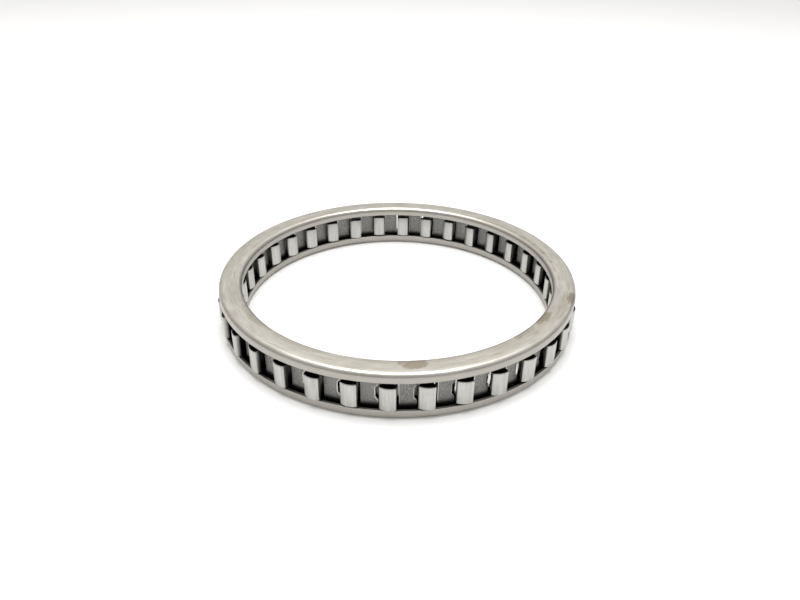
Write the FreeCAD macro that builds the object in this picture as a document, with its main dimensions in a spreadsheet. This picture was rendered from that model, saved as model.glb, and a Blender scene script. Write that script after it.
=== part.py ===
import FreeCAD, Part
import math
import os
import Sketcher

# Sprag cage: two channel-section end rings hold an outer and an inner window band,
# a ribbon spring lies between the bands, and loose sprags stand in the windows.
# Frame: +Z is the ring's axis, and the origin is its centre on the lower end face.

XY = "XY_Plane"
XZ = "XZ_Plane"
YZ = "YZ_Plane"

# Half the width of a sprag's neck: the heads' mean half width less the rise of the neck's arc.
NECK_HALF = (
    "(({outer_face_width} + {inner_face_width}) / 4 - {neck_bend}"
    " + sqrt({neck_bend}^2 - {head_root}^2))"
)

# How far the middle of each face's chord lies from the neck: the face is an arc whose highest
# point is at the reach, and whose chord leans by the face skew.
FACE_CHORD = (
    "({face_reach} - {RADIUS} + sqrt({RADIUS}^2"
    " - ({WIDTH} / 2 / cos({face_skew} * 1 deg))^2) * cos({face_skew} * 1 deg))"
)
OUTER_CHORD = FACE_CHORD.replace("RADIUS", "outer_face_radius").replace("WIDTH", "outer_face_width")
INNER_CHORD = FACE_CHORD.replace("RADIUS", "inner_face_radius").replace("WIDTH", "inner_face_width")

# Driving dimensions in millimetres, degrees and pieces.
SIZES = {
    "cage_outer_radius": 59.4,
    "cage_inner_radius": 51.9,
    "cage_width": 15.25,
    "lip_height": 3.0,
    "ring_sheet": 1.0,
    "ring_bend": 1.5,
    "band_sheet": 0.7,
    "outer_band_radius": 57.3,
    "inner_band_radius": 54.5,
    "outer_window_width": 5.5,
    "inner_window_width": 5.1,
    "notch_depth": 0.9,
    "notch_height": 5.5,
    "notch_flat": 3.2,
    "sprag_count": 34,
    "sprag_length": 7.7,
    "sprag_chamfer": 0.2,
    "sprag_pivot_radius": 55.78,
    "face_reach": 4.165,
    "face_skew": 4.0,
    "outer_face_width": 4.75,
    "outer_face_radius": 4.85,
    "inner_face_width": 4.4,
    "inner_face_radius": 4.2,
    "head_root": 2.3,
    "neck_bend": 3.0,
    "end_play": 0.1,
    "loose_lift": 0.4,
    "free_lean": -5.0,
    "loose_tilt": 5.0,
    "loose_wave": 47.0,
    "ribbon_sheet": 0.25,
    "ribbon_radius": 55.9,
    "ribbon_edge": 0.2,
    "ribbon_rail": 1.4,
    "crossbar_width": 2.4,
    "tongue_height": 5.0,
    "tongue_inward": 1.0,
    "tongue_outward": 0.7,
    "tongue_gap": 0.45,
}

doc = FreeCAD.newDocument("SpragCage")
sheet = doc.addObject("Spreadsheet::Sheet", "Sizes")
for row, (alias, value) in enumerate(SIZES.items(), start=1):
    sheet.set(f"A{row}", alias)
    sheet.set(f"B{row}", str(value))
    sheet.setAlias(f"B{row}", alias)
doc.recompute()


def bind(expression):
    """Turns {alias} marks into references to the sheet's cells."""
    for alias in SIZES:
        expression = expression.replace("{" + alias + "}", "Sizes." + alias)
    return expression


def number(expression):
    """The present value of an expression on the sheet."""
    return float(sheet.evalExpression(bind(expression)))


def new_body(label):
    body = doc.addObject("PartDesign::Body", label)
    body.Label = label
    return body


def new_sketch(body, name, plane):
    """A sketch on one of the body's own origin planes."""
    sketch = body.newObject("Sketcher::SketchObject", name)
    support = [item for item in body.Origin.OriginFeatures if item.Role == plane][0]
    sketch.AttachmentSupport = [(support, "")]
    sketch.MapMode = "FlatFace"
    return sketch


def dimension(sketch, kind, name, places, expression):
    """Adds a named sketch dimension and binds it to the sheet."""
    index = sketch.addConstraint(Sketcher.Constraint(kind, *places, number(expression)))
    sketch.renameConstraint(index, name)
    sketch.setExpression(f"Constraints.{name}", bind(expression))


def place_point(sketch, name, geometry, end, across, up):
    """Holds one end of a curve at two expressions, measured from the sketch's origin."""
    dimension(sketch, "DistanceX", name + "_across", (-1, 1, geometry, end), across)
    dimension(sketch, "DistanceY", name + "_up", (-1, 1, geometry, end), up)


def vector(point):
    return FreeCAD.Vector(number(point[0]), number(point[1]), 0)


def outline(sketch, points):
    """A closed outline through the points. A point may carry a third item, the bulge
    (radius, middle across, middle up), which makes the side after it an arc."""
    count = len(points)
    for index, point in enumerate(points):
        start = vector(point)
        end = vector(points[(index + 1) % count])
        if len(point) == 3:
            middle = vector(point[2][1:])
            sketch.addGeometry(Part.Arc(start, middle, end), False)
        else:
            sketch.addGeometry(Part.LineSegment(start, end), False)
    first = [end_at(sketch, index, points[index]) for index in range(count)]
    for index, point in enumerate(points):
        follower = (index + 1) % count
        sketch.addConstraint(
            Sketcher.Constraint("Coincident", index, 3 - first[index], follower, first[follower])
        )
        place_point(sketch, f"corner_{index}", index, first[index], point[0], point[1])
        if len(point) == 3:
            dimension(sketch, "Radius", f"bulge_{index}", (index,), point[2][0])


def end_at(sketch, index, point):
    """Which end of a curve, 1 or 2, lies at the point: an arc may run the other way."""
    gap = sketch.getPoint(index, 1).sub(vector(point)).Length
    return 1 if gap < 1e-6 else 2


def ring_outline(sketch, outer, inner):
    """Two circles about the sketch's origin."""
    for index, (name, radius) in enumerate((("outer", outer), ("inner", inner))):
        circle = Part.Circle(FreeCAD.Vector(0, 0, 0), FreeCAD.Vector(0, 0, 1), number(radius))
        sketch.addGeometry(circle, False)
        sketch.addConstraint(Sketcher.Constraint("Coincident", index, 3, -1, 1))
        dimension(sketch, "Radius", name + "_radius", (index,), radius)


def add_pad(body, name, sketch, length):
    pad = body.newObject("PartDesign::Pad", name)
    pad.Profile = sketch
    pad.setExpression("Length", bind(length))
    return pad


def add_through_pocket(body, name, sketch):
    """Cuts one side only, through the wall that +X passes, and checks that it cuts."""
    doc.recompute()
    before = body.Shape.Volume
    pocket = body.newObject("PartDesign::Pocket", name)
    pocket.Profile = sketch
    pocket.Type = "Length"
    pocket.setExpression("Length", bind("{cage_outer_radius}"))
    pocket.Reversed = True
    doc.recompute()
    if body.Shape.Volume >= before - 1e-6:
        raise RuntimeError(f"{name} removed nothing from {body.Label}")
    return pocket


def add_ring_pattern(body, name, features):
    """Repeats the features once for each sprag about the axis."""
    pattern = body.newObject("PartDesign::PolarPattern", name)
    pattern.Originals = features
    axis = [item for item in body.Origin.OriginFeatures if item.Role == "Z_Axis"][0]
    pattern.Axis = (axis, [""])
    pattern.Angle = 360
    pattern.setExpression("Occurrences", bind("{sprag_count}"))
    body.Tip = pattern
    return pattern


def circle_edges(shape, wanted):
    """Names of the circular edges at the given (radius, height) pairs."""
    names = []
    for index, edge in enumerate(shape.Edges, start=1):
        curve = edge.Curve
        if not isinstance(curve, Part.Circle):
            continue
        for radius, height in wanted:
            if abs(curve.Radius - radius) < 1e-4 and abs(curve.Center.z - height) < 1e-4:
                names.append(f"Edge{index}")
    return names


def end_ring(label, upper):
    """A ring of channel section, formed from sheet, open towards the middle of the cage."""
    body = new_body(label)
    section = new_sketch(body, label + "_section", XZ)
    outline(
        section,
        [
            ("{cage_inner_radius}", "0"),
            ("{cage_outer_radius}", "0"),
            ("{cage_outer_radius}", "{lip_height}"),
            ("{cage_inner_radius}", "{lip_height}"),
        ],
    )
    turned = body.newObject("PartDesign::Revolution", label + "_blank")
    turned.Profile = section
    turned.ReferenceAxis = (section, ["V_Axis"])
    turned.Angle = 360
    doc.recompute()
    blank_volume = body.Shape.Volume

    channel = new_sketch(body, label + "_channel", XZ)
    outline(
        channel,
        [
            ("{cage_inner_radius} + {ring_sheet}", "{ring_sheet}"),
            ("{cage_outer_radius} - {ring_sheet}", "{ring_sheet}"),
            ("{cage_outer_radius} - {ring_sheet}", "{lip_height}"),
            ("{cage_inner_radius} + {ring_sheet}", "{lip_height}"),
        ],
    )
    groove = body.newObject("PartDesign::Groove", label + "_groove")
    groove.Profile = channel
    groove.ReferenceAxis = (channel, ["V_Axis"])
    groove.Angle = 360
    doc.recompute()
    if body.Shape.Volume > 0.8 * blank_volume:
        raise RuntimeError(f"the channel of {label} was not cut")

    outer = number("{cage_outer_radius}")
    inner = number("{cage_inner_radius}")
    thick = number("{ring_sheet}")
    outside = body.newObject("PartDesign::Fillet", label + "_outside_bend")
    outside.Base = (groove, circle_edges(groove.Shape, [(outer, 0), (inner, 0)]))
    outside.setExpression("Radius", bind("{ring_bend}"))
    doc.recompute()
    inside = body.newObject("PartDesign::Fillet", label + "_inside_bend")
    corners = [(outer - thick, thick), (inner + thick, thick)]
    inside.Base = (outside, circle_edges(outside.Shape, corners))
    inside.setExpression("Radius", bind("{ring_bend} - {ring_sheet}"))
    if upper:
        body.Placement.Rotation = FreeCAD.Rotation(FreeCAD.Vector(1, 0, 0), 180)
        body.setExpression("Placement.Base.z", bind("{cage_width}"))
    return body


def window_band(label, surface, window, notched):
    """A thin band with one window for each sprag. A notch widens the clockwise side of the
    outer band's windows, beside the ribbon's tongues."""
    body = new_body(label)
    rim = new_sketch(body, label + "_rim", XY)
    ring_outline(rim, surface, surface + " - {band_sheet}")
    add_pad(body, label + "_strip", rim, "{cage_width} - 2 * {ring_sheet}")
    low = "{lip_height} - {ring_sheet}"
    high = "{cage_width} - {lip_height} - {ring_sheet}"
    middle = "{cage_width} / 2 - {ring_sheet}"
    side = f"-{window} / 2"
    corners = [
        (f"{window} / 2", low),
        (f"{window} / 2", high),
        (side, high),
    ]
    if notched:
        corners += [
            (side, middle + " + {notch_height} / 2"),
            (side + " - {notch_depth}", middle + " + {notch_flat} / 2"),
            (side + " - {notch_depth}", middle + " - {notch_flat} / 2"),
            (side, middle + " - {notch_height} / 2"),
        ]
    corners.append((side, low))
    opening = new_sketch(body, label + "_window", YZ)
    outline(opening, corners)
    pocket = add_through_pocket(body, label + "_cut", opening)
    add_ring_pattern(body, label + "_windows", [pocket])
    body.setExpression("Placement.Base.z", bind("{ring_sheet}"))
    return body


def ribbon_spring(label):
    """A thin ribbon between the bands: two rails, and between them a crossbar with a
    radial tongue at the clockwise flank of each sprag's neck."""
    body = new_body(label)
    rim = new_sketch(body, label + "_rim", XY)
    ring_outline(rim, "{ribbon_radius}", "{ribbon_radius} - {ribbon_sheet}")
    height = "{cage_width} - 2 * {ring_sheet} - 2 * {ribbon_edge}"
    add_pad(body, label + "_strip", rim, height)

    flank = f"-{NECK_HALF} - {{tongue_gap}}"
    pitch = "{ribbon_radius} * 2 * pi / {sprag_count}"
    opening = new_sketch(body, label + "_window", YZ)
    outline(
        opening,
        [
            (f"{flank} + {pitch} - {{crossbar_width}}", "{ribbon_rail}"),
            (f"{flank} + {pitch} - {{crossbar_width}}", height + " - {ribbon_rail}"),
            (flank, height + " - {ribbon_rail}"),
            (flank, "{ribbon_rail}"),
        ],
    )
    cut = add_through_pocket(body, label + "_cut", opening)
    add_ring_pattern(body, label + "_windows", [cut])
    doc.recompute()

    tongue = new_sketch(body, label + "_tongue", XY)
    centre = "{ribbon_radius} - {ribbon_sheet} / 2"
    outline(
        tongue,
        [
            (f"{centre} - {{tongue_inward}}", f"{flank} - {{ribbon_sheet}}"),
            (f"{centre} + {{tongue_outward}}", f"{flank} - {{ribbon_sheet}}"),
            (f"{centre} + {{tongue_outward}}", flank),
            (f"{centre} - {{tongue_inward}}", flank),
        ],
    )
    middle = f"({height}) / 2"
    tongue.setExpression("AttachmentOffset.Base.z", bind(middle + " - {tongue_height} / 2"))
    leaf = add_pad(body, label + "_leaf", tongue, "{tongue_height}")
    add_ring_pattern(body, label + "_leaves", [leaf])
    body.setExpression("Placement.Base.z", bind("{ring_sheet} + {ribbon_edge}"))
    return body


def sprag(number_in_ring):
    """A prism of dumbbell section with a convex face at each end. In its own sketch, X is
    radial from the neck and Y is tangential. Both faces lean the same way, so that turning
    the sprag clockwise makes it taller between its tracks, and it wedges."""
    label = f"sprag_{number_in_ring + 1:02d}"
    body = new_body(label)
    section = new_sketch(body, label + "_section", XY)
    outer_half = "{outer_face_width} / 2"
    inner_half = "{inner_face_width} / 2"
    outer_lean = outer_half + " * tan({face_skew} * 1 deg)"
    inner_lean = inner_half + " * tan({face_skew} * 1 deg)"
    outer_face = ("{outer_face_radius}", "{face_reach}", "0")
    inner_face = ("{inner_face_radius}", "-{face_reach}", "0")
    outline(
        section,
        [
            (f"{OUTER_CHORD} - {outer_lean}", "-" + outer_half, outer_face),
            (f"{OUTER_CHORD} + {outer_lean}", outer_half),
            ("{head_root}", outer_half, ("{neck_bend}", "0", NECK_HALF)),
            ("-{head_root}", inner_half),
            (f"-{INNER_CHORD} + {inner_lean}", inner_half, inner_face),
            (f"-{INNER_CHORD} - {inner_lean}", "-" + inner_half),
            ("-{head_root}", "-" + inner_half, ("{neck_bend}", "0", "-" + NECK_HALF)),
            ("{head_root}", "-" + outer_half),
        ],
    )
    prism = add_pad(body, label + "_prism", section, "{sprag_length}")
    doc.recompute()
    ends = []
    for index, edge in enumerate(prism.Shape.Edges, start=1):
        heights = [vertex.Point.z for vertex in edge.Vertexes]
        if max(heights) - min(heights) < 1e-6:
            ends.append(f"Edge{index}")
    bevel = body.newObject("PartDesign::Chamfer", label + "_bevel")
    bevel.Base = (prism, ends)
    bevel.setExpression("Size", bind("{sprag_chamfer}"))

    angle = f"360 / {{sprag_count}} * {number_in_ring}"
    # Out of its tracks a sprag leans towards locking. Each leans and stands a little
    # differently, in a wave round the ring, because they are loose in their windows.
    wave = f"{{loose_wave}} * ({number_in_ring} - 0.5) * 1 deg"
    lift = f"{{loose_lift}} * (0.5 + 0.5 * sin(3 * {wave}))"
    tilt = f"{{free_lean}} + {{loose_tilt}} * cos({wave})"
    body.setExpression("Placement.Base.x", bind(f"{{sprag_pivot_radius}} * cos({angle} * 1 deg)"))
    body.setExpression("Placement.Base.y", bind(f"{{sprag_pivot_radius}} * sin({angle} * 1 deg)"))
    body.setExpression("Placement.Base.z", bind("{lip_height} + {end_play} + " + lift))
    body.setExpression("Placement.Rotation.Angle", bind(f"({angle} + {tilt}) * 1 deg"))
    return body


parts = [
    end_ring("lower_end_ring", upper=False),
    end_ring("upper_end_ring", upper=True),
    window_band("outer_cage", "{outer_band_radius}", "{outer_window_width}", notched=True),
    window_band(
        "inner_cage", "({inner_band_radius} + {band_sheet})", "{inner_window_width}", notched=False
    ),
    ribbon_spring("ribbon_spring"),
]
parts += [sprag(index) for index in range(int(number("{sprag_count}")))]
doc.recompute()

for item in doc.Objects:
    if "Invalid" in item.State or "Error" in item.State:
        raise RuntimeError(f"{item.Label} did not build: {item.State}")
for body in parts:
    if body.Shape.isNull() or not body.Shape.isValid() or len(body.Shape.Solids) != 1:
        raise RuntimeError(f"{body.Label} is not one sound solid")

os.makedirs("parts", exist_ok=True)
for body in parts:
    body.Shape.exportStep(f"parts/{body.Label}.step")
print(f"{len(parts)} parts written")
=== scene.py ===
"""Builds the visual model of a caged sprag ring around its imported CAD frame."""

import math

import bmesh
import bpy
import numpy as np
from bpy.props import FloatProperty, FloatVectorProperty, PointerProperty
from mathutils import Matrix, Vector


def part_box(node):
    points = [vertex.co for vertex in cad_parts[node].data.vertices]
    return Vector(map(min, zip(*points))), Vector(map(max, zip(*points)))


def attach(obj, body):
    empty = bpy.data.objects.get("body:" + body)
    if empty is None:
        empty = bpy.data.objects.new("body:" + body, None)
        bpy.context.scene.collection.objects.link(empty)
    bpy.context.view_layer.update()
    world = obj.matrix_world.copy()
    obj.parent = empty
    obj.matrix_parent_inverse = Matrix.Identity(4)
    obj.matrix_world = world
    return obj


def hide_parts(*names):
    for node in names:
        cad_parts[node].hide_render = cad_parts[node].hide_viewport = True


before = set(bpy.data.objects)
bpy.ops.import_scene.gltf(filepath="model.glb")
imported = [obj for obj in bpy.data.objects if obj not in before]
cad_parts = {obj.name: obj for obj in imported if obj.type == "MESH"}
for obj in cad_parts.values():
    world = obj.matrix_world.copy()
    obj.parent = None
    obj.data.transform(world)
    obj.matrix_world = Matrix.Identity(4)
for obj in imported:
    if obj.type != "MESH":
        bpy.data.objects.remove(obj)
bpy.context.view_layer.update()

bl_info = {
    "name": "Caged sprag ring",
    "version": (1, 0, 0),
    "blender": (4, 5, 0),
    "location": "3D View > Sidebar > Sprag ring",
    "description": "Makes the end rings, bands, ribbon spring and sprags of a one-way clutch cage",
    "category": "Add Mesh",
}

MM = 0.001
FULL_TURN = 2 * math.pi
SPRAGS = sorted(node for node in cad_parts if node.startswith("sprag_"))
PITCH = FULL_TURN / len(SPRAGS)

RING_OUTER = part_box("lower_end_ring")[1].x
LIP_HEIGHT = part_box("lower_end_ring")[1].z
CAGE_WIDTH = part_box("upper_end_ring")[1].z
MIDDLE = CAGE_WIDTH / 2
OUTER_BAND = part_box("outer_cage")[1].x
INNER_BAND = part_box("inner_cage")[1].x
RING_STEPS = 720

# The attributes that the pieces carry on their points.
# Hollow is the mask of painted shade: where it is 1 the finishes paint the metal near black.
PAINTED_SHADE_MASK = "hollow"
SHEARED = "sheared"

# Near-black painted shade, put in recesses, on hidden sides, on flanks and on ends.
PAINTED_SHADE_BLACK = (0.018, 0.017, 0.015)
# Darker grey painted on the rings' side walls: painted shade.
PAINTED_WALL_SHADE = (0.30, 0.288, 0.27)

FLOOR_RADIUS = 6.0
FLOOR_STEPS = 128
SENSOR_WIDTH = 36
CLIP_NEAR = 0.01
CLIP_FAR = 50
SKY_STRENGTH = 0.85
SKY_LOW = (0.42, 0.42, 0.425, 1)
SKY_HIGH = (1.0, 0.99, 0.97, 1)
SKY_HIGH_FROM = 0.6
LAMP_PLACE = (0.0, 0.05, 0.9)
LAMP_SIZE = 0.55
LAMP_POWER = 7.0


def length(name, description, default):
    """A size in metres, shown in the scene's length unit."""
    return FloatProperty(
        name=name, description=description, default=default, unit="LENGTH", subtype="DISTANCE"
    )


def angle(name, description, degrees):
    """An angle given in degrees and kept in radians."""
    return FloatProperty(
        name=name,
        description=description,
        default=math.radians(degrees),
        unit="ROTATION",
        subtype="ANGLE",
    )


def colour(name, description, default):
    return FloatVectorProperty(
        name=name, description=description, default=default, size=3, subtype="COLOR", min=0, max=1
    )


# ---------------------------------------------------------------- settings


class EndRingSettings(bpy.types.PropertyGroup):
    inner_radius: length("Bore radius", "Radius of the ring's inner wall", 51.9 * MM)
    sheet: length("Sheet", "Thickness of the formed sheet", 1.0 * MM)
    bend: length("Bend", "Outside radius of the two bends", 1.5 * MM)
    edge: length("Edge break", "Rounding of the lips' edges", 0.2 * MM)
    steel: colour("Steel", "Turned steel of the rings", (0.74, 0.71, 0.645))
    shade: colour("Shade", "Darker streaks in the turned grain", (0.55, 0.52, 0.46))
    tarnish: colour("Tarnish", "Brown storage marks", (0.20, 0.165, 0.11))


class BandSettings(bpy.types.PropertyGroup):
    sheet: length("Sheet", "Thickness of both bands", 0.7 * MM)
    outer_window: length("Outer window", "Width of the outer band's windows", 5.5 * MM)
    inner_window: length("Inner window", "Width of the inner band's windows", 5.1 * MM)
    notch_depth: length("Notch depth", "How far the notch widens a window", 0.9 * MM)
    notch_height: length("Notch height", "Height of the notch at the window's edge", 5.5 * MM)
    notch_flat: length("Notch flat", "Height of the notch's straight wall", 3.2 * MM)
    corner: length("Corner", "Rounding of the windows' corners", 0.25 * MM)
    edge: length("Edge break", "Rounding of the sheared edges", 0.12 * MM)
    steel: colour("Steel", "Matt dark steel of the bands", (0.25, 0.247, 0.235))
    shine: colour("Sheared edge", "Bright metal along the sheared edges", (0.60, 0.59, 0.56))


class SpragSettings(bpy.types.PropertyGroup):
    pivot: length("Neck radius", "Distance of the necks from the ring's axis", 55.78 * MM)
    reach: length("Reach", "From the neck to the top of each face", 4.165 * MM)
    outer_width: length("Outer width", "Width of the outer face", 4.75 * MM)
    inner_width: length("Inner width", "Width of the inner face", 4.4 * MM)
    outer_arc: length("Outer arc", "Radius of the outer face", 4.85 * MM)
    inner_arc: length("Inner arc", "Radius of the inner face", 4.2 * MM)
    head_root: length("Head root", "From the neck to where the heads' sides end", 2.3 * MM)
    neck_bend: length("Neck bend", "Radius of the hollow flanks", 3.0 * MM)
    edge: length("Edge break", "Rounding of the faces' long edges", 0.13 * MM)
    bevel: length("Bevel", "Bevel round both ends", 0.2 * MM)
    skew: angle("Skew", "Lean of each face's chord", 4)
    lean: angle("Free lean", "Turn of a free sprag towards locking", -5)
    tilt: angle("Loose tilt", "Largest further turn of a loose sprag", 5)
    wave: angle("Loose wave", "Step of the loose turn from one sprag to the next", 47)
    steel: colour("Steel", "Ground steel of the sprags", (0.53, 0.525, 0.505))
    shade: colour("Grain", "Darker lines of the ground grain", (0.40, 0.395, 0.375))


class RibbonSettings(bpy.types.PropertyGroup):
    sheet: length("Sheet", "Thickness of the ribbon", 0.25 * MM)
    shift: length("Shift", "From mid-gap, less the sheet, out to the ribbon's face", 0.1 * MM)
    corner: length("Corner", "Rounding of the ribbon's windows", 0.5 * MM)
    rail: length("Rail", "Height of the ribbon's two rails", 1.4 * MM)
    crossbar: length("Crossbar", "Width of each crossbar", 2.4 * MM)
    flank: length("Flank", "From a sprag's middle line to the crossbar beside it", 1.664 * MM)
    tongue_height: length("Tongue height", "Height of each tongue", 6.0 * MM)
    tongue_half: length("Tongue half width", "Half width of each tongue", 0.86 * MM)
    tongue_radius: length("Tongue radius", "From the ring's axis to a tongue's middle", 55.97 * MM)
    tongue_aside: length("Tongue aside", "From a sprag's middle line to a tongue", 2.42 * MM)
    tongue_turn: angle("Tongue turn", "Turn of each tongue from the radial", 52)
    kink: length("Kink", "How far clockwise of its middle a tongue's ends lie", 0.4 * MM)
    steel: colour("Steel", "Rolled spring strip", (0.86, 0.85, 0.83))


class StageSettings(bpy.types.PropertyGroup):
    distance: length("Distance", "From the camera to its aim point", 228.4 * MM)
    azimuth: angle("Azimuth", "Turn of the camera round the ring", -3.603)
    elevation: angle("Elevation", "Camera's angle above the floor", 30.89)
    roll: angle("Roll", "Turn of the camera about its own line of sight", 0.92)
    aim_right: length("Aim right", "Aim point to the right of the ring's centre", 1.0 * MM)
    aim_up: length("Aim up", "Aim point above the ring's centre", 2.33 * MM)
    lens: FloatProperty(
        name="Lens",
        description="Focal length on a 36 mm sensor",
        default=29.15,
        unit="CAMERA",
    )
    floor: colour("Floor", "Pale floor", (0.93, 0.93, 0.925))


SETTINGS = {
    "end_rings": EndRingSettings,
    "bands": BandSettings,
    "sprags": SpragSettings,
    "ribbon": RibbonSettings,
    "stage": StageSettings,
}


# ---------------------------------------------------------------- shader arithmetic


class Wire:
    """An output socket that adds Math nodes when Python arithmetic is done on it."""

    def __init__(self, finish, socket):
        self.finish = finish
        self.socket = socket

    def math(self, operation, *values):
        return self.finish.node("ShaderNodeMath", {"operation": operation}, *values)

    def __add__(self, other):
        return self.math("ADD", self, other)

    __radd__ = __add__

    def __sub__(self, other):
        return self.math("SUBTRACT", self, other)

    def __rsub__(self, other):
        return self.math("SUBTRACT", other, self)

    def __mul__(self, other):
        return self.math("MULTIPLY", self, other)

    __rmul__ = __mul__

    def __truediv__(self, other):
        return self.math("DIVIDE", self, other)

    def __rtruediv__(self, other):
        return self.math("DIVIDE", other, self)

    def __pow__(self, other):
        return self.math("POWER", self, other)

    def size(self):
        return self.math("ABSOLUTE", self)

    def ramp(self, low, high):
        """0 below low, 1 above high, smooth between them."""
        settings = {"interpolation_type": "SMOOTHSTEP"}
        return self.finish.node("ShaderNodeMapRange", settings, self, low, high, 0.0, 1.0)


class Finish:
    """One material whose nodes end in a Principled shader."""

    def __init__(self, name):
        self.material = bpy.data.materials.new(name)
        self.material.use_nodes = True
        self.tree = self.material.node_tree
        self.tree.nodes.clear()
        self.shader = self.tree.nodes.new("ShaderNodeBsdfPrincipled")
        output = self.tree.nodes.new("ShaderNodeOutputMaterial")
        self.tree.links.new(self.shader.outputs["BSDF"], output.inputs["Surface"])

    def feed(self, socket, value):
        if isinstance(value, Wire):
            self.tree.links.new(value.socket, socket)
        else:
            socket.default_value = value

    def node(self, kind, settings, *values, output=0, **named):
        """Adds a node, sets its settings, then feeds its sockets in order and by name."""
        node = self.tree.nodes.new(kind)
        for key, value in settings.items():
            setattr(node, key, value)
        for socket, value in zip([s for s in node.inputs if s.enabled], values):
            self.feed(socket, value)
        for key, value in named.items():
            self.feed(node.inputs[key], value)
        return Wire(self, node.outputs[output])

    def place(self):
        """The Object coordinates in millimetres, as a vector and as x, y and z."""
        spot = self.node("ShaderNodeTexCoord", {}, output="Object")
        scaled = self.node("ShaderNodeVectorMath", {"operation": "SCALE"}, Vector=spot, Scale=1000.0)
        split = self.node("ShaderNodeSeparateXYZ", {}, scaled).socket.node
        return scaled, [Wire(self, output) for output in split.outputs]

    def attribute(self, name):
        return self.node("ShaderNodeAttribute", {"attribute_name": name}, output="Fac")

    def combine(self, x, y, z):
        return self.node("ShaderNodeCombineXYZ", {}, x, y, z)

    def noise(self, vector, scale, detail=3.0, roughness=0.55):
        return self.node(
            "ShaderNodeTexNoise",
            {"noise_dimensions": "3D"},
            Vector=vector,
            Scale=scale,
            Detail=detail,
            Roughness=roughness,
        )

    def mix(self, share, first, second):
        """A colour between two colours."""
        settings = {"data_type": "RGBA", "blend_type": "MIX"}
        node = self.tree.nodes.new("ShaderNodeMix")
        for key, value in settings.items():
            setattr(node, key, value)
        for index, value in ((0, share), (6, first), (7, second)):
            self.feed(node.inputs[index], value)
        return Wire(self, node.outputs[2])

    def bump(self, height, strength, distance):
        return self.node("ShaderNodeBump", {}, Strength=strength, Distance=distance, Height=height)

    def done(self, colour, roughness, bump, metallic=1.0):
        self.feed(self.shader.inputs["Base Color"], colour)
        self.feed(self.shader.inputs["Roughness"], roughness)
        self.feed(self.shader.inputs["Metallic"], metallic)
        self.feed(self.shader.inputs["Normal"], bump)
        return self.material


def rgba(setting):
    return (*setting, 1.0)


# Storage marks on the end rings: angle in degrees, radius in mm, half length in degrees, half
# width in mm, strength.
STAINS = [
    (-88, 54.0, 4.4, 2.8, 1.0),
    (-68, 54.2, 42, 3.2, 0.3),
    (-101, 57.4, 12, 1.6, 0.3),
    (-97, 53.4, 9, 1.2, 0.45),
    (-79, 53.2, 9, 1.0, 0.5),
    (-37, 53.3, 5.5, 1.9, 1.0),
    (-49, 53.9, 4.5, 2.0, 0.8),
    (-22, 58.2, 4, 1.5, 1.0),
    (-28, 56.5, 9, 1.6, 0.5),
    (44, 58.4, 4, 0.8, 0.8),
    (18, 53.6, 15, 0.9, 0.8),
    (38, 53.5, 14, 0.8, 0.7),
    (-148, 53.2, 13, 1.5, 0.65),
    (-125, 53.4, 12, 1.6, 0.4),
    (-163, 54.5, 8, 2.4, 0.35),
    (-112, 56.2, 6, 1.5, 0.3),
    (120, 53.6, 22, 0.9, 0.35),
    (170, 57.0, 14, 1.4, 0.3),
]


def turned_steel(name, settings):
    """Turned sheet: streaks that run round the axis, cloudy patches, brown marks, side walls
    painted a darker grey as painted shade, and near-black painted shade inside the channel."""
    finish = Finish(name)
    spot, (x, y, z) = finish.place()
    radius = (x * x + y * y) ** 0.5
    east, north = x / radius, y / radius
    centre_line = (settings.inner_radius + RING_OUTER) / 2 / MM
    aside_of_middle = (radius - centre_line).size()
    above_middle = (z - MIDDLE / MM).size()
    # Counted aslant, so that the streaks run round the walls as they do round the flat.
    across = radius + z * 0.83
    fine = finish.noise(finish.combine(east * 10.0, north * 10.0, across * 4.5), 1.0, 4.0)
    broad = finish.noise(finish.combine(east * 3.0, north * 3.0, across * 1.3), 1.0, 3.0)
    cloud = finish.noise(spot, 0.22, 4.0, 0.6)
    speck = finish.noise(spot, 2.0, 5.0, 0.7)

    # Each mark is an ellipse along the ring, and the noises make its border uneven.
    marks = None
    for degrees, lane, half_length, half_width, strength in STAINS:
        place = math.radians(degrees)
        along = (1 - east * math.cos(place) - north * math.sin(place)) * (
            2 / math.radians(half_length) ** 2
        )
        offset = (radius - lane) / half_width
        mark = 1.5 - along - offset * offset + (cloud - 0.5) * 5.0 + (broad - 0.5) * 3.0
        mark = mark.ramp(0.0, 1.4) * strength
        marks = mark if marks is None else marks.math("MAXIMUM", marks, mark)
    marks = marks * (0.46 + speck * 0.6)

    grain = (fine * 0.5 + broad * 0.3 + cloud * 0.2).ramp(0.38, 0.62)
    steel = finish.mix(grain, rgba(settings.shade), rgba(settings.steel))
    steel = finish.mix(marks, steel, rgba(settings.tarnish))
    # Painted shade: the side walls are painted a darker grey.
    wall = aside_of_middle.ramp(2.6, 3.75)
    steel = finish.mix(wall * (0.66 + cloud * 0.2), steel, rgba(PAINTED_WALL_SHADE))
    # Painted shade: the inside of the channel is painted near black.
    half_inside = centre_line - settings.inner_radius / MM - settings.sheet / MM
    floor_level = (MIDDLE - settings.sheet) / MM
    channel = (1 - aside_of_middle.ramp(half_inside + 0.03, half_inside + 0.25)) * (
        1 - above_middle.ramp(floor_level + 0.03, floor_level + 0.25)
    )
    steel = finish.mix(channel, steel, rgba(PAINTED_SHADE_BLACK))
    roughness = 0.33 + grain * 0.06 + marks * 0.2 + (speck - 0.5) * 0.1
    height = fine * 0.6 + speck * 0.4
    return finish.done(steel, roughness, finish.bump(height, 0.22, 0.00002))


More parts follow.
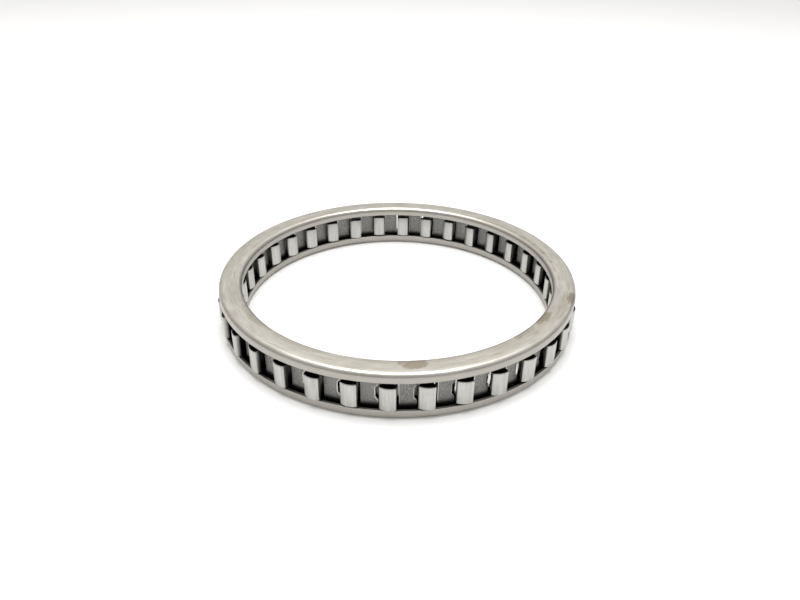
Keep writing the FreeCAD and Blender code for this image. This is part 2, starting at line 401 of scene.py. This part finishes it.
def matt_band_steel(name, settings):
    """Dark matt strip with a pebbled grain, bright along its sheared edges, and near-black painted
    shade where it stands in the channels and on the side that faces the other band."""
    finish = Finish(name)
    spot, (_, _, z) = finish.place()
    pebble = finish.noise(spot, 2.4, 6.0, 0.7)
    smear = finish.noise(spot, 0.45, 3.0, 0.5)
    worn = (finish.attribute(SHEARED) * 1.15 + (pebble - 0.5) * 0.5).ramp(0.35, 0.95)
    dark = rgba(tuple(part * 0.6 for part in settings.steel))
    light = rgba(tuple(part * 1.5 for part in settings.steel))
    steel = finish.mix(pebble.ramp(0.36, 0.66), dark, light)
    steel = finish.mix(smear.ramp(0.35, 0.7) * 0.5, steel, rgba(settings.steel))
    steel = finish.mix(worn, steel, rgba(settings.shine))
    # Painted shade: near black towards the top and the bottom, where the band stands in the channels,
    # and on the hidden side.
    channel_shade = (z - MIDDLE / MM).size().ramp(2.7, 4.6)
    painted_shade = channel_shade.math("MAXIMUM", channel_shade, finish.attribute(PAINTED_SHADE_MASK))
    steel = finish.mix(painted_shade * 0.97, steel, rgba(PAINTED_SHADE_BLACK))
    roughness = 0.58 - worn * 0.25 + (pebble - 0.5) * 0.2
    return finish.done(steel, roughness, finish.bump(pebble, 0.5, 0.00006))


def ground_steel(name, settings):
    """Ground steel whose grain runs along the sprag's length, with near-black painted shade on
    the flanks and on the ends."""
    finish = Finish(name)
    spot, (x, y, z) = finish.place()
    line = finish.noise(finish.combine(x * 3.2, y * 3.2, z * 0.16), 1.0, 4.0, 0.6)
    band = finish.noise(finish.combine(x * 1.1, y * 1.1, z * 0.07), 1.0, 2.0)
    cloud = finish.noise(spot, 0.5, 3.0)
    grain = (line * 0.55 + band * 0.45).ramp(0.34, 0.66)
    steel = finish.mix(grain, rgba(settings.shade), rgba(settings.steel))
    steel = finish.mix(cloud.ramp(0.4, 0.75) * 0.3, steel, rgba(settings.shade))
    # Painted shade: the flanks and the ends are painted near black.
    steel = finish.mix(finish.attribute(PAINTED_SHADE_MASK), steel, rgba(PAINTED_SHADE_BLACK))
    roughness = 0.34 + grain * 0.07 + (cloud - 0.5) * 0.12
    return finish.done(steel, roughness, finish.bump(line, 0.2, 0.00002))


def spring_steel(name, settings):
    """Bright rolled strip with faint rolling lines, with near-black painted shade away from the
    tongues.
    """
    finish = Finish(name)
    spot, (x, y, z) = finish.place()
    lines = finish.noise(finish.combine(x * 0.3, y * 0.3, z * 7.0), 1.0, 3.0)
    cloud = finish.noise(spot, 0.8, 3.0)
    dull = rgba(tuple(part * 0.8 for part in settings.steel))
    steel = finish.mix(cloud.ramp(0.35, 0.75), rgba(settings.steel), dull)
    # Painted shade: the strip is painted near black away from the tongues.
    steel = finish.mix(finish.attribute(PAINTED_SHADE_MASK), steel, rgba(PAINTED_SHADE_BLACK))
    return finish.done(steel, 0.22 + lines * 0.16, finish.bump(lines, 0.15, 0.00001))


# ---------------------------------------------------------------- surfaces


def rounded_outline(corners, radii, steps, side_steps=1):
    """A closed outline as an array of points: each corner becomes a circular arc of its
    radius, tangent to both sides, and each straight side is divided into side_steps."""
    corners = np.asarray(corners, float)
    points = []
    count = len(corners)
    for index in range(count):
        here = corners[index]
        back = corners[index - 1] - here
        ahead = corners[(index + 1) % count] - here
        back /= np.linalg.norm(back)
        ahead /= np.linalg.norm(ahead)
        half_angle = math.acos(np.clip(back @ ahead, -1, 1)) / 2
        radius = radii[index]
        run = radius / math.tan(half_angle)
        middle = (back + ahead) / np.linalg.norm(back + ahead)
        centre = here + middle * radius / math.sin(half_angle)
        start = here + back * run - centre
        end = here + ahead * run - centre
        turn = math.atan2(start[0] * end[1] - start[1] * end[0], start @ end)
        angles = np.linspace(0, turn, steps + 1)[:, None]
        crossed = np.array([-start[1], start[0]])
        points.append(centre + np.cos(angles) * start + np.sin(angles) * crossed)
    closed = []
    for index, arc in enumerate(points):
        closed.append(arc)
        if side_steps > 1:
            shares = np.linspace(0, 1, side_steps + 1)[1:-1, None]
            follower = points[(index + 1) % count][0]
            closed.append(arc[-1] + (follower - arc[-1]) * shares)
    return np.concatenate(closed)


def make_piece(name, points, faces, body, node, finish, hollow, sharp=32):
    """Turns points and faces into a smooth-shaded piece that stands for a CAD node. Hollow is
    1 on the points that get painted shade, where the finish paints the metal dark."""
    mesh = bpy.data.meshes.new(name)
    mesh.from_pydata(points.reshape(-1, 3), [], faces)
    mesh.attributes.new(PAINTED_SHADE_MASK, "FLOAT", "POINT").data.foreach_set(
        "value", np.broadcast_to(hollow, points.shape[:-1]).astype(np.float32).ravel()
    )
    work = bmesh.new()
    work.from_mesh(mesh)
    bmesh.ops.remove_doubles(work, verts=work.verts, dist=1e-7)
    bmesh.ops.recalc_face_normals(work, faces=work.faces)
    work.to_mesh(mesh)
    work.free()
    mesh.shade_smooth()
    mesh.set_sharp_from_angle(angle=math.radians(sharp))
    mesh.materials.append(finish)
    piece = bpy.data.objects.new(name, mesh)
    bpy.context.scene.collection.objects.link(piece)
    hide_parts(node)
    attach(piece, body)
    return piece


def quads(rows, columns, close_rows=False, close_columns=False):
    """Corner numbers of the squares of a grid stored row by row."""
    row = np.arange(rows if close_rows else rows - 1)
    column = np.arange(columns if close_columns else columns - 1)
    a, b = np.meshgrid(row, column, indexing="ij")
    next_a, next_b = (a + 1) % rows, (b + 1) % columns
    corners = [a * columns + b, next_a * columns + b, next_a * columns + next_b, a * columns + next_b]
    return np.stack(corners, axis=-1).reshape(-1, 4)


def end_ring(name, node, settings, finish, upper):
    """The channel section carried round the axis: point (r, z) of the rounded outline at
    angle a is (r cos a, r sin a, z), and the upper ring is the same, mirrored in height."""
    inner, outer = settings.inner_radius, RING_OUTER
    sheet, edge, bend = settings.sheet, settings.edge, settings.bend
    inside_bend = bend - sheet
    section = rounded_outline(
        [
            (inner, 0),
            (outer, 0),
            (outer, LIP_HEIGHT),
            (outer - sheet, LIP_HEIGHT),
            (outer - sheet, sheet),
            (inner + sheet, sheet),
            (inner + sheet, LIP_HEIGHT),
            (inner, LIP_HEIGHT),
        ],
        [bend, bend, edge, edge, inside_bend, inside_bend, edge, edge],
        steps=8,
        side_steps=3,
    )
    turn = np.linspace(0, FULL_TURN, RING_STEPS, endpoint=False)[:, None]
    radius, height = section[None, :, 0], section[None, :, 1]
    if upper:
        height = CAGE_WIDTH - height
    points = np.stack(
        np.broadcast_arrays(radius * np.cos(turn), radius * np.sin(turn), height), axis=-1
    )
    faces = quads(RING_STEPS, len(section), close_rows=True, close_columns=True)
    return make_piece(name, points, faces, "cage", node, finish, 0.0)


def ray_reach(outline, angles):
    """How far a closed outline lies from the origin along each angle."""
    start, end = outline, np.roll(outline, -1, axis=0)
    side = end - start
    ray = np.stack([np.cos(angles), np.sin(angles)], axis=-1)[:, None, :]
    cross = ray[..., 0] * side[:, 1] - ray[..., 1] * side[:, 0]
    safe = np.where(np.abs(cross) < 1e-15, 1e-15, cross)
    distance = (start[:, 0] * side[:, 1] - start[:, 1] * side[:, 0]) / safe
    share = (start[:, 0] * ray[..., 1] - start[:, 1] * ray[..., 0]) / safe
    hit = (share >= -1e-9) & (share <= 1 + 1e-9) & (distance > 0)
    return np.where(hit, distance, np.inf).min(axis=1)


def windowed_strip(surface, sheet, low, high, outline, edge, start_angle):
    """One cell of the strip is a rectangle one pitch wide with the window in its middle. Rays
    from the window's middle cross its edge and the cell's border, and the sheet is a grid over
    ray and step: border, middle, rounded edge, wall, rounded edge, middle, border. Each cell
    is rolled onto the cylinder and repeated at every pitch. Returns points, faces and depths."""
    half_cell = surface * PITCH / 2
    half_rise = (high - low) / 2
    corners = [(x, y) for x in (-half_cell, half_cell) for y in (-half_rise, half_rise)]
    angles = np.concatenate([
        np.arctan2(outline[:, 1], outline[:, 0]), [math.atan2(y, x) for x, y in corners]
    ])
    angles = np.unique(np.round(np.concatenate([angles, np.pi - angles, -angles]) % FULL_TURN, 5))
    window_reach = ray_reach(outline, angles)
    cell_reach = ray_reach(np.array([corners[0], corners[2], corners[3], corners[1]]), angles)
    eased, clear = 0.29 * edge, 3.2 * edge
    # Each layer: share of the way from the window's edge to the border, extra reach, depth.
    layers = [
        (1.0, 0.0, 0.0),
        (0.45, 0.0, 0.0),
        (0.0, clear, 0.0),
        (0.0, edge, 0.0),
        (0.0, eased, eased),
        (0.0, 0.0, edge),
        (0.0, 0.0, sheet - edge),
        (0.0, eased, sheet - eased),
        (0.0, edge, sheet),
        (0.0, clear, sheet),
        (0.45, 0.0, sheet),
        (1.0, 0.0, sheet),
    ]
    share, extra, depth = np.array(layers).T
    reach = window_reach[:, None] + (cell_reach - window_reach)[:, None] * share + extra
    across = reach * np.cos(angles)[:, None]
    height = (low + high) / 2 + reach * np.sin(angles)[:, None]
    turn = start_angle + np.arange(len(SPRAGS))[:, None, None] * PITCH + across[None] / surface
    radius = surface - depth
    points = np.stack(
        np.broadcast_arrays(radius * np.cos(turn), radius * np.sin(turn), height[None]), axis=-1
    )
    rays, steps = len(angles), len(layers)
    ends = np.abs(np.abs(cell_reach * np.sin(angles)) - half_rise) < 1e-7
    shared = np.flatnonzero(ends & np.roll(ends, -1))
    follower = (shared + 1) % rays
    last = steps - 1
    closing = np.stack(
        [shared * steps, shared * steps + last, follower * steps + last, follower * steps], axis=-1
    )
    one_cell = np.concatenate([quads(rays, steps, close_rows=True), closing])
    offsets = np.arange(len(SPRAGS))[:, None, None] * rays * steps
    return points, (one_cell[None] + offsets).reshape(-1, 4), depth


def window_band(name, node, settings, finish, surface, window, notched):
    """A strip whose window is a rounded rectangle. The outer band's window has a notch in the
    middle of its clockwise side. The side that faces the other band gets painted shade."""
    low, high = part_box(node)
    half = window / 2
    top = MIDDLE - LIP_HEIGHT
    corners = [(half, -top), (half, top), (-half, top)]
    if notched:
        deep = -half - settings.notch_depth
        corners += [
            (-half, settings.notch_height / 2),
            (deep, settings.notch_flat / 2),
            (deep, -settings.notch_flat / 2),
            (-half, -settings.notch_height / 2),
        ]
    corners.append((-half, -top))
    outline = rounded_outline(corners, [settings.corner] * len(corners), steps=5, side_steps=7)
    points, faces, depth = windowed_strip(
        surface, settings.sheet, low.z, high.z, outline, settings.edge, 0.0
    )
    # Painted shade on the side that faces the other band.
    inwards = depth / settings.sheet
    hidden = inwards if notched else 1 - inwards
    hollow = np.clip(hidden * 2 - 0.6, 0, 1)
    piece = make_piece(name, points, faces, "cage", node, finish, hollow)
    mark_sheared_edges(piece.data, surface, settings, outline)
    return piece


def ribbon(name, node, settings, finish):
    """A thin strip with one plain window between two crossbars, and a tongue across each
    crossbar's edge. The tongue is a thin leaf, straight across and turned from the radial. At
    share v of its height it lies clockwise of its middle by kink times |2v - 1|."""
    low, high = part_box(node)
    surface = (INNER_BAND + OUTER_BAND) / 2 - settings.sheet + settings.shift
    sheet = settings.sheet
    window_half = (surface * PITCH - settings.crossbar) / 2
    top = (high.z - low.z) / 2 - settings.rail
    corners = [(window_half, -top), (window_half, top), (-window_half, top), (-window_half, -top)]
    outline = rounded_outline(corners, [settings.corner] * 4, steps=4, side_steps=5)
    start_angle = (window_half - settings.flank) / surface
    points, faces, _ = windowed_strip(
        surface, sheet, low.z, high.z, outline, 0.2 * sheet, start_angle
    )
    strip = points.reshape(-1, 3)

    rows, columns = 9, 14
    v = np.linspace(0, 1, rows)[:, None]
    u = np.concatenate([np.linspace(-1, 1, columns // 2), np.linspace(1, -1, columns // 2)])
    thickness = 0.8 * sheet
    behind = np.repeat([0.0, thickness], columns // 2)
    out, aside = math.cos(settings.tongue_turn), math.sin(settings.tongue_turn)
    along = settings.tongue_half * u
    x = settings.tongue_radius + along * out - behind * aside + 0 * v
    y = along * aside + behind * out - settings.tongue_aside - settings.kink * np.abs(2 * v - 1)
    z = MIDDLE + settings.tongue_height * (v - 0.5) + 0 * u
    turn = np.arange(len(SPRAGS))[:, None, None] * PITCH
    leaf = np.stack(
        np.broadcast_arrays(
            x * np.cos(turn) - y * np.sin(turn), x * np.sin(turn) + y * np.cos(turn), z[None]
        ),
        axis=-1,
    )
    one_leaf = quads(rows, columns, close_columns=True)
    step = np.arange(columns // 2 - 1)
    caps = np.stack([step, step + 1, columns - 2 - step, columns - 1 - step], axis=-1)
    one_leaf = np.concatenate([one_leaf, caps, caps + (rows - 1) * columns])
    offsets = len(strip) + np.arange(len(SPRAGS))[:, None, None] * rows * columns
    leaves = (one_leaf[None] + offsets).reshape(-1, 4)
    everything = np.concatenate([strip, leaf.reshape(-1, 3)])
    hollow = np.zeros(len(everything))
    # Painted shade: the strip is painted dark and the tongues are not.
    hollow[: len(strip)] = 0.9
    return make_piece(
        name, everything, np.concatenate([faces, leaves]), "cage", node, finish,
        hollow,
    )


def mark_sheared_edges(mesh, surface, settings, outline):
    """Stores 1 on points that lie on a window's sheared edge and 0 elsewhere: a point counts
    if it is nearer to the window's outline than twice the edge's rounding."""
    points = np.zeros(len(mesh.vertices) * 3)
    mesh.vertices.foreach_get("co", points)
    points = points.reshape(-1, 3)
    turn = np.arctan2(points[:, 1], points[:, 0])
    turn = (turn + PITCH / 2) % PITCH - PITCH / 2
    flat = np.stack([turn * surface, points[:, 2] - MIDDLE], axis=-1)
    start, side = outline, np.roll(outline, -1, axis=0) - outline
    apart = flat[:, None, :] - start[None]
    share = np.clip((apart * side).sum(-1) / np.maximum((side * side).sum(-1), 1e-15), 0, 1)
    gap = np.linalg.norm(apart - share[..., None] * side, axis=-1).min(axis=1)
    mark = np.clip(2 - gap / (1.5 * settings.edge), 0, 1)
    attribute = mesh.attributes.new(SHEARED, "FLOAT", "POINT")
    attribute.data.foreach_set("value", mark.astype(np.float32))


def arc_points(centre, radius, start, end, steps):
    angles = np.linspace(start, end, steps)
    return np.stack([centre[0] + radius * np.cos(angles), centre[1] + radius * np.sin(angles)], -1)


def face_arc(settings, width, radius, steps):
    """The outer face in the sprag's own plane: an arc whose highest point is at the reach and
    whose chord leans by the skew. Trimmed by the edge break at both ends, which are returned
    with it as the untrimmed corners."""
    half_chord = width / 2 / math.cos(settings.skew)
    to_chord = math.sqrt(radius**2 - half_chord**2)
    centre = (settings.reach - radius, to_chord * math.sin(settings.skew))
    half_turn = math.asin(half_chord / radius)
    trim = settings.edge / radius
    start, end = -settings.skew - half_turn, -settings.skew + half_turn
    corners = arc_points(centre, radius, start, end, 2)
    return arc_points(centre, radius, start + trim, end - trim, steps), corners


def sprag_outline(settings):
    """The dumbbell section with X radial from the neck and Y round the ring: a leaning convex
    arc at each end, straight heads, and a hollow arc of the neck's bend on each flank. Returns
    the points and how much painted shade each gets."""
    outer, outer_corners = face_arc(settings, settings.outer_width, settings.outer_arc, 19)
    inner, inner_corners = face_arc(settings, settings.inner_width, settings.inner_arc, 17)
    inner, inner_corners = -inner, -inner_corners
    edge, root, bend = settings.edge, settings.head_root, settings.neck_bend
    eased = 0.25 * edge
    points, hollow = [outer], [np.zeros(len(outer))]
    for side, first, second in (
        (1, outer_corners[1], inner_corners[0]),
        (-1, inner_corners[1], outer_corners[0]),
    ):
        start = np.array([math.copysign(root, first[0]), first[1]])
        end = np.array([math.copysign(root, second[0]), second[1]])
        chord = end - start
        span = np.linalg.norm(chord)
        outwards = np.array([0.0, side])
        centre = (start + end) / 2 + outwards * math.sqrt(bend**2 - (span / 2) ** 2)
        first_turn = math.atan2(*(start - centre)[::-1]) % FULL_TURN
        second_turn = math.atan2(*(end - centre)[::-1]) % FULL_TURN
        flank = arc_points(centre, bend, first_turn, second_turn, 15)
        towards = math.copysign(1.0, -first[0])
        near = np.array([
            [first[0] + towards * eased, first[1] - side * eased],
            [first[0] + towards * edge, first[1]],
        ])
        far = np.array([
            [second[0] - towards * edge, second[1]],
            [second[0] - towards * eased, second[1] - side * eased],
        ])
        points += [near, flank, far]
        # The flanks get painted shade.
        hollow += [[0.0, 0.0], np.full(len(flank), 0.95), [0.0, 0.0]]
        if side == 1:
            points.append(inner)
            hollow.append(np.zeros(len(inner)))
    return np.concatenate(points), np.concatenate(hollow)


def inset(outline, amount):
    """The outline moved inwards along its own normals."""
    ahead = np.roll(outline, -1, axis=0) - np.roll(outline, 1, axis=0)
    normal = np.stack([ahead[:, 1], -ahead[:, 0]], axis=-1)
    normal /= np.linalg.norm(normal, axis=1)[:, None]
    return outline - normal * amount


def sprag(index, node, settings, finish):
    """The section drawn up along Z in levels. The end levels are moved inwards to bevel the
    ends, and each level is turned by the sprag's lean, then set at its neck on the ring."""
    low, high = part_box(node)
    bevel = settings.bevel
    rise = high.z - low.z
    # Each level: height, inset as a share of the bevel, and how much painted shade an end face gets
    # there.
    levels = [
        (0.0, 1.0, 1.0),
        (0.25 * bevel, 0.62, 0.25),
        (bevel, 0.08, 0.0),
        (1.3 * bevel, 0.0, 0.0),
        (rise / 2, 0.0, 0.0),
        (rise - 1.3 * bevel, 0.0, 0.0),
        (rise - bevel, 0.08, 0.0),
        (rise - 0.25 * bevel, 0.62, 0.25),
        (rise, 1.0, 1.0),
    ]
    outline, hollow = sprag_outline(settings)
    home = index * PITCH
    turn = home + settings.lean + settings.tilt * math.cos(settings.wave * (index - 0.5))
    spin = np.array([[math.cos(turn), math.sin(turn)], [-math.sin(turn), math.cos(turn)]])
    neck = settings.pivot * np.array([math.cos(home), math.sin(home)])
    rings, painted_shade = [], []
    for height, share, end_face in levels:
        flat = inset(outline, share * bevel) @ spin + neck
        rings.append(np.column_stack([flat, np.full(len(flat), low.z + height)]))
        # Painted shade on the flanks and on the end faces.
        painted_shade.append(np.maximum(hollow, end_face))
    points = np.stack(rings)
    count = len(outline)
    faces = quads(len(levels), count, close_columns=True).tolist()
    faces.append(list(range(count))[::-1])
    faces.append([(len(levels) - 1) * count + corner for corner in range(count)])
    return make_piece(
        node + "_ground", points, faces, node, node, finish, np.stack(painted_shade), sharp=28
    )


# ---------------------------------------------------------------- operators


class MESH_OT_sprag_cage_end_rings(bpy.types.Operator):
    """Make the lower and the upper channel ring"""

    bl_idname = "mesh.sprag_cage_end_rings"
    bl_label = "End rings"

    def execute(self, context):
        settings = context.scene.sprag_cage_end_rings
        finish = turned_steel("turned_ring_steel", settings)
        end_ring("lower_channel_ring", "lower_end_ring", settings, finish, upper=False)
        end_ring("upper_channel_ring", "upper_end_ring", settings, finish, upper=True)
        return {"FINISHED"}


class MESH_OT_sprag_cage_bands(bpy.types.Operator):
    """Make the outer and the inner window band"""

    bl_idname = "mesh.sprag_cage_bands"
    bl_label = "Window bands"

    def execute(self, context):
        settings = context.scene.sprag_cage_bands
        finish = matt_band_steel("matt_band_steel", settings)
        window_band(
            "outer_window_band", "outer_cage", settings, finish,
            OUTER_BAND, settings.outer_window, notched=True,
        )
        window_band(
            "inner_window_band", "inner_cage", settings, finish,
            INNER_BAND, settings.inner_window, notched=False,
        )
        return {"FINISHED"}


class MESH_OT_sprag_cage_ribbon(bpy.types.Operator):
    """Make the ribbon spring between the bands"""

    bl_idname = "mesh.sprag_cage_ribbon"
    bl_label = "Ribbon spring"

    def execute(self, context):
        settings = context.scene.sprag_cage_ribbon
        finish = spring_steel("rolled_spring_steel", settings)
        ribbon("ribbon_with_tongues", "ribbon_spring", settings, finish)
        return {"FINISHED"}


class MESH_OT_sprag_cage_sprags(bpy.types.Operator):
    """Make every sprag in its window"""

    bl_idname = "mesh.sprag_cage_sprags"
    bl_label = "Sprags"

    def execute(self, context):
        settings = context.scene.sprag_cage_sprags
        finish = ground_steel("ground_sprag_steel", settings)
        for index, node in enumerate(SPRAGS):
            sprag(index, node, settings, finish)
        return {"FINISHED"}


class SCENE_OT_sprag_cage_stage(bpy.types.Operator):
    """Set the floor, the lights and the camera"""

    bl_idname = "scene.sprag_cage_stage"
    bl_label = "Stage"

    def execute(self, context):
        settings = context.scene.sprag_cage_stage
        add_floor(settings)
        add_lights()
        add_camera(settings)
        return {"FINISHED"}


def add_floor(settings):
    """A wide disc under the ring, a pale matt surface with a faint cloudiness."""
    turn = np.linspace(0, FULL_TURN, FLOOR_STEPS, endpoint=False)
    rim = np.stack([np.cos(turn), np.sin(turn), np.zeros(FLOOR_STEPS)], axis=-1) * FLOOR_RADIUS
    mesh = bpy.data.meshes.new("floor")
    mesh.from_pydata(rim, [], [list(range(FLOOR_STEPS))])
    floor = bpy.data.objects.new("floor", mesh)
    bpy.context.scene.collection.objects.link(floor)
    finish = Finish("pale_floor")
    spot, _ = finish.place()
    cloud = finish.noise(spot, 0.004, 2.0)
    pale = rgba(settings.floor)
    shade = rgba(tuple(c * 0.985 for c in settings.floor))
    finish.done(
        finish.mix(cloud, pale, shade), 0.9, finish.bump(cloud, 0.02, 0.0001), metallic=0.0
    )
    mesh.materials.append(finish.material)


def add_lights():
    """A bright sky that fades towards the horizon, and a large soft box overhead."""
    scene = bpy.context.scene
    world = bpy.data.worlds.new("soft_room")
    world.use_nodes = True
    tree = world.node_tree
    tree.nodes.clear()
    spot = tree.nodes.new("ShaderNodeTexCoord")
    split = tree.nodes.new("ShaderNodeSeparateXYZ")
    tree.links.new(spot.outputs["Generated"], split.inputs[0])
    ramp = tree.nodes.new("ShaderNodeValToRGB")
    low, high = ramp.color_ramp.elements
    low.position = 0.0
    low.color = SKY_LOW
    high.position = SKY_HIGH_FROM
    high.color = SKY_HIGH
    tree.links.new(split.outputs[2], ramp.inputs[0])
    background = tree.nodes.new("ShaderNodeBackground")
    background.inputs["Strength"].default_value = SKY_STRENGTH
    tree.links.new(ramp.outputs[0], background.inputs["Color"])
    output = tree.nodes.new("ShaderNodeOutputWorld")
    tree.links.new(background.outputs[0], output.inputs["Surface"])
    scene.world = world

    lamp = bpy.data.lights.new("overhead_box", "AREA")
    lamp.shape = "SQUARE"
    lamp.size = LAMP_SIZE
    lamp.energy = LAMP_POWER
    holder = bpy.data.objects.new("overhead_box", lamp)
    scene.collection.objects.link(holder)
    holder.location = LAMP_PLACE
    holder.rotation_euler = (-Vector(LAMP_PLACE)).to_track_quat("-Z", "Y").to_euler()


def add_camera(settings):
    """The camera's axes come from its elevation, then its roll, then its turn round the ring."""
    scene = bpy.context.scene
    rise, run = math.sin(settings.elevation), math.cos(settings.elevation)
    forward = Vector((0, run, -rise))
    upright = Vector((0, rise, run))
    level = Vector((1, 0, 0))
    right = level * math.cos(settings.roll) + upright * math.sin(settings.roll)
    up = upright * math.cos(settings.roll) - level * math.sin(settings.roll)
    place = -forward * settings.distance + right * settings.aim_right + up * settings.aim_up
    axes = Matrix((right, up, -forward)).transposed().to_4x4()
    data = bpy.data.cameras.new("camera")
    data.sensor_width = SENSOR_WIDTH
    data.lens = settings.lens
    data.clip_start = CLIP_NEAR
    data.clip_end = CLIP_FAR
    camera = bpy.data.objects.new("camera", data)
    scene.collection.objects.link(camera)
    camera.matrix_world = Matrix.Rotation(settings.azimuth, 4, "Z") @ (
        Matrix.Translation(place) @ axes
    )
    scene.camera = camera
    scene.view_settings.view_transform = "Standard"


OPERATORS = (
    MESH_OT_sprag_cage_end_rings,
    MESH_OT_sprag_cage_bands,
    MESH_OT_sprag_cage_ribbon,
    MESH_OT_sprag_cage_sprags,
    SCENE_OT_sprag_cage_stage,
)


class VIEW3D_PT_sprag_cage(bpy.types.Panel):
    """Lists the pieces of the sprag ring with their sizes and finishes"""

    bl_idname = "VIEW3D_PT_sprag_cage"
    bl_label = "Sprag ring"
    bl_space_type = "VIEW_3D"
    bl_region_type = "UI"
    bl_category = "Sprag ring"

    def draw(self, context):
        for operator, (name, group) in zip(OPERATORS, SETTINGS.items()):
            box = self.layout.box()
            box.operator(operator.bl_idname)
            settings = getattr(context.scene, "sprag_cage_" + name)
            for key in group.__annotations__:
                box.prop(settings, key)


def register():
    for name, group in SETTINGS.items():
        bpy.utils.register_class(group)
        setattr(bpy.types.Scene, "sprag_cage_" + name, PointerProperty(type=group))
    for operator in OPERATORS:
        bpy.utils.register_class(operator)
    bpy.utils.register_class(VIEW3D_PT_sprag_cage)


def unregister():
    bpy.utils.unregister_class(VIEW3D_PT_sprag_cage)
    for operator in reversed(OPERATORS):
        bpy.utils.unregister_class(operator)
    for name, group in SETTINGS.items():
        delattr(bpy.types.Scene, "sprag_cage_" + name)
        bpy.utils.unregister_class(group)


def main():
    register()
    bpy.ops.mesh.sprag_cage_end_rings()
    bpy.ops.mesh.sprag_cage_bands()
    bpy.ops.mesh.sprag_cage_ribbon()
    bpy.ops.mesh.sprag_cage_sprags()
    bpy.ops.scene.sprag_cage_stage()


if __name__ == "__main__":
    main()
